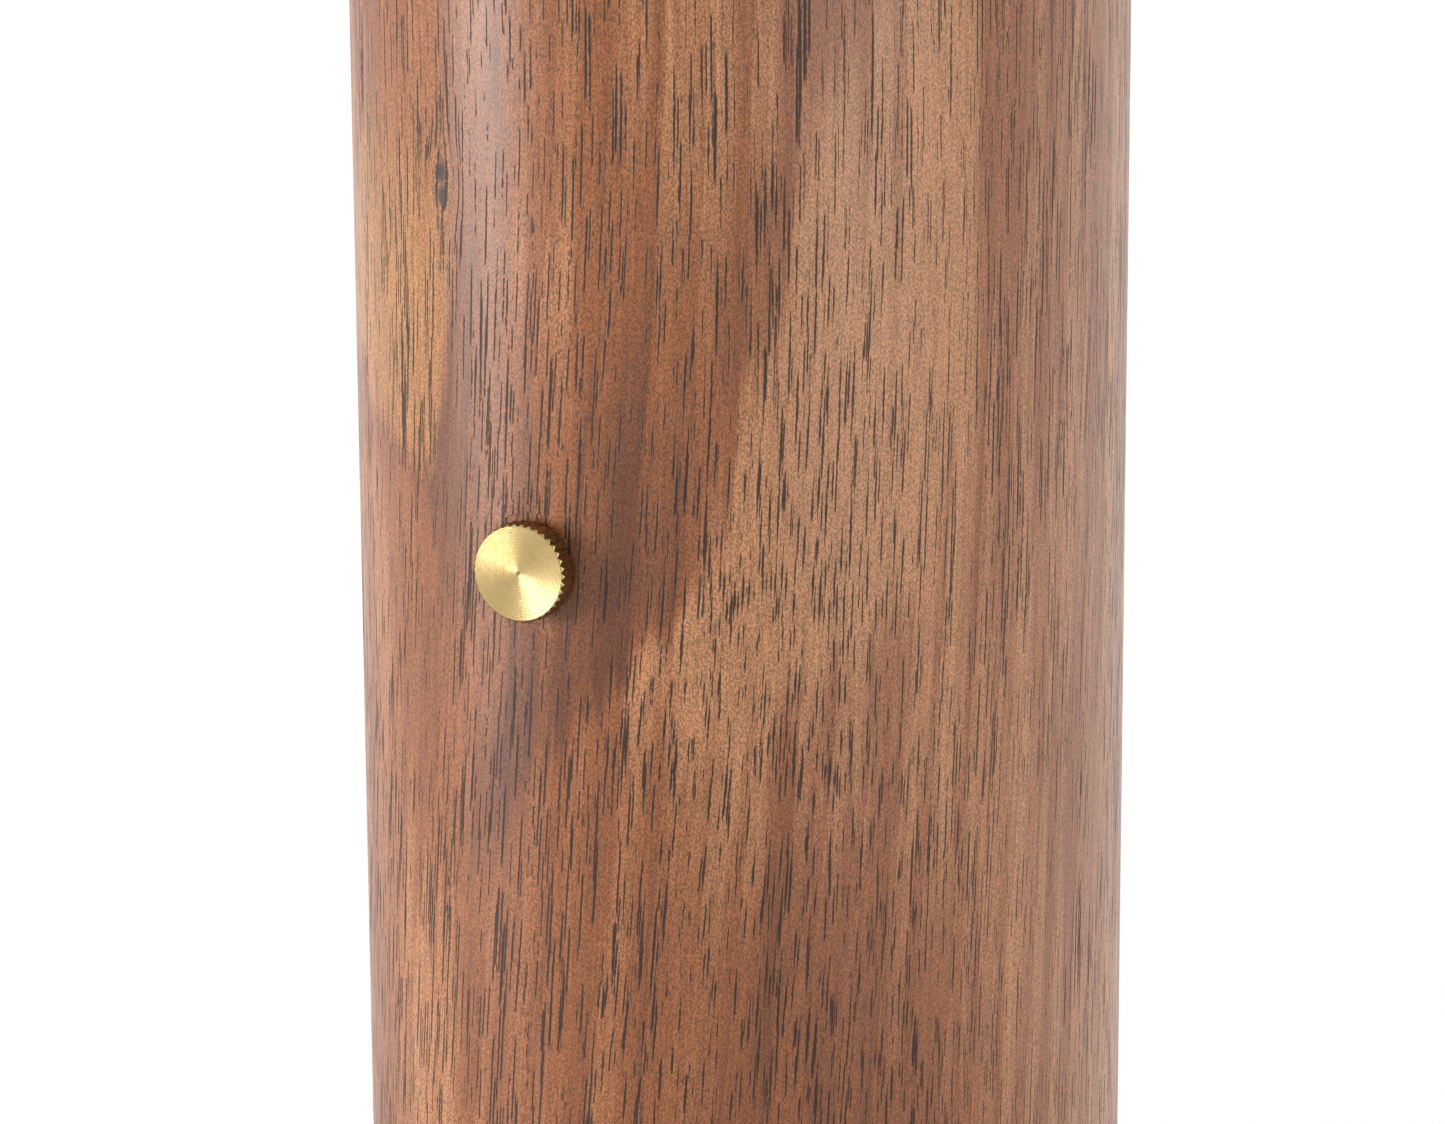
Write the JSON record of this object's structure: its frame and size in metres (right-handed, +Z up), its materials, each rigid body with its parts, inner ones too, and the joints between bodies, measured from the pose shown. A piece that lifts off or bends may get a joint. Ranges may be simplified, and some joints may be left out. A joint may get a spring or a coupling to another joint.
{
  "type": "leather stitching pony",
  "caption": "Walnut stitching pony: an oval pillar that turns on a base board and splits into two leather-lined jaws, closed by a brass screw.",
  "frame": {"origin": "middle of the underside of the base, on the axis that the pillar turns about", "axes": "+Z up along the pillar, +X along the base and the mouth of the jaws, -Y towards the thumbscrew, the clamping knob and the moving jaw"},
  "size_m": [0.3, 0.17, 0.42],
  "materials": {
    "walnut_pillar": "satin oil",
    "walnut_jaw": "satin oil",
    "walnut_base": "satin oil",
    "leather_pad": "matte",
    "leather_lip": "matte",
    "brass_turned": "lathe turned",
    "brass_plain": "satin",
    "bronze": "satin",
    "steel": "brushed"
  },
  "bodies": {
    "stand": {"base_board": "walnut_base", "base_pad": "leather_pad", "pivot_post": "steel", "flange_screw_1": "brass_plain", "flange_screw_2": "brass_plain", "flange_screw_3": "brass_plain", "flange_screw_4": "brass_plain", "thrust_washer": "bronze"},
    "column": {"pillar": "walnut_pillar", "lower_bush": "bronze", "upper_bush": "bronze", "thumbscrew_insert": "brass_plain", "hinge_knuckle": "brass_plain", "barrel_nut": "brass_plain", "spring_cup_rear": "steel", "rear_lip": "leather_lip", "jaw_spring": "steel"},
    "moving_jaw": {"front_jaw": "walnut_jaw", "front_lip": "leather_lip", "hinge_pin": "steel", "pin_cap_left": "brass_turned", "pin_cap_right": "brass_turned", "hinge_bush_left": "bronze", "hinge_bush_right": "bronze", "spring_cup_front": "steel"},
    "clamp_carrier": {"clamp_washer": "brass_plain"},
    "clamp_handle": {"clamp_knob": "brass_turned", "clamp_screw": "steel"},
    "lock_carrier": {"thumbscrew_shoe": "bronze"},
    "lock_handle": {"thumbscrew": "brass_turned"}
  },
  "joints": [
    {"name": "swivel", "type": "hinge", "parent": "stand", "child": "column", "pos_m": [0, 0, 0.1], "axis": [0, 0, 1], "continuous": true},
    {"name": "jaw_open", "type": "hinge", "parent": "column", "child": "moving_jaw", "pos_m": [0, -0.03, 0.232], "axis": [1, 0, 0], "range_deg": [-1.3, 5], "deforming": ["jaw_spring"]},
    {"name": "clamp_travel", "type": "slide", "parent": "column", "child": "clamp_carrier", "axis": [0, -1, 0], "range_m": [-0.00218, 0.00838]},
    {"name": "clamp_turn", "type": "hinge", "parent": "clamp_carrier", "child": "clamp_handle", "pos_m": [0, -0.05, 0.318], "axis": [0, -1, 0], "range_deg": [-523, 2011]},
    {"name": "lock_travel", "type": "slide", "parent": "column", "child": "lock_carrier", "axis": [0, -1, 0], "range_m": [0, 0.0028]},
    {"name": "lock_turn", "type": "hinge", "parent": "lock_carrier", "child": "lock_handle", "pos_m": [0, -0.054, 0.15], "axis": [0, -1, 0], "range_deg": [0, 1441]}
  ],
  "couplings": [
    {"joint": "clamp_turn", "follows": "clamp_travel", "rad_per_m": 4188.8},
    {"joint": "jaw_open", "follows": "clamp_travel", "rad_per_m": 10.417},
    {"joint": "lock_turn", "follows": "lock_travel", "rad_per_m": 8976}
  ]
}
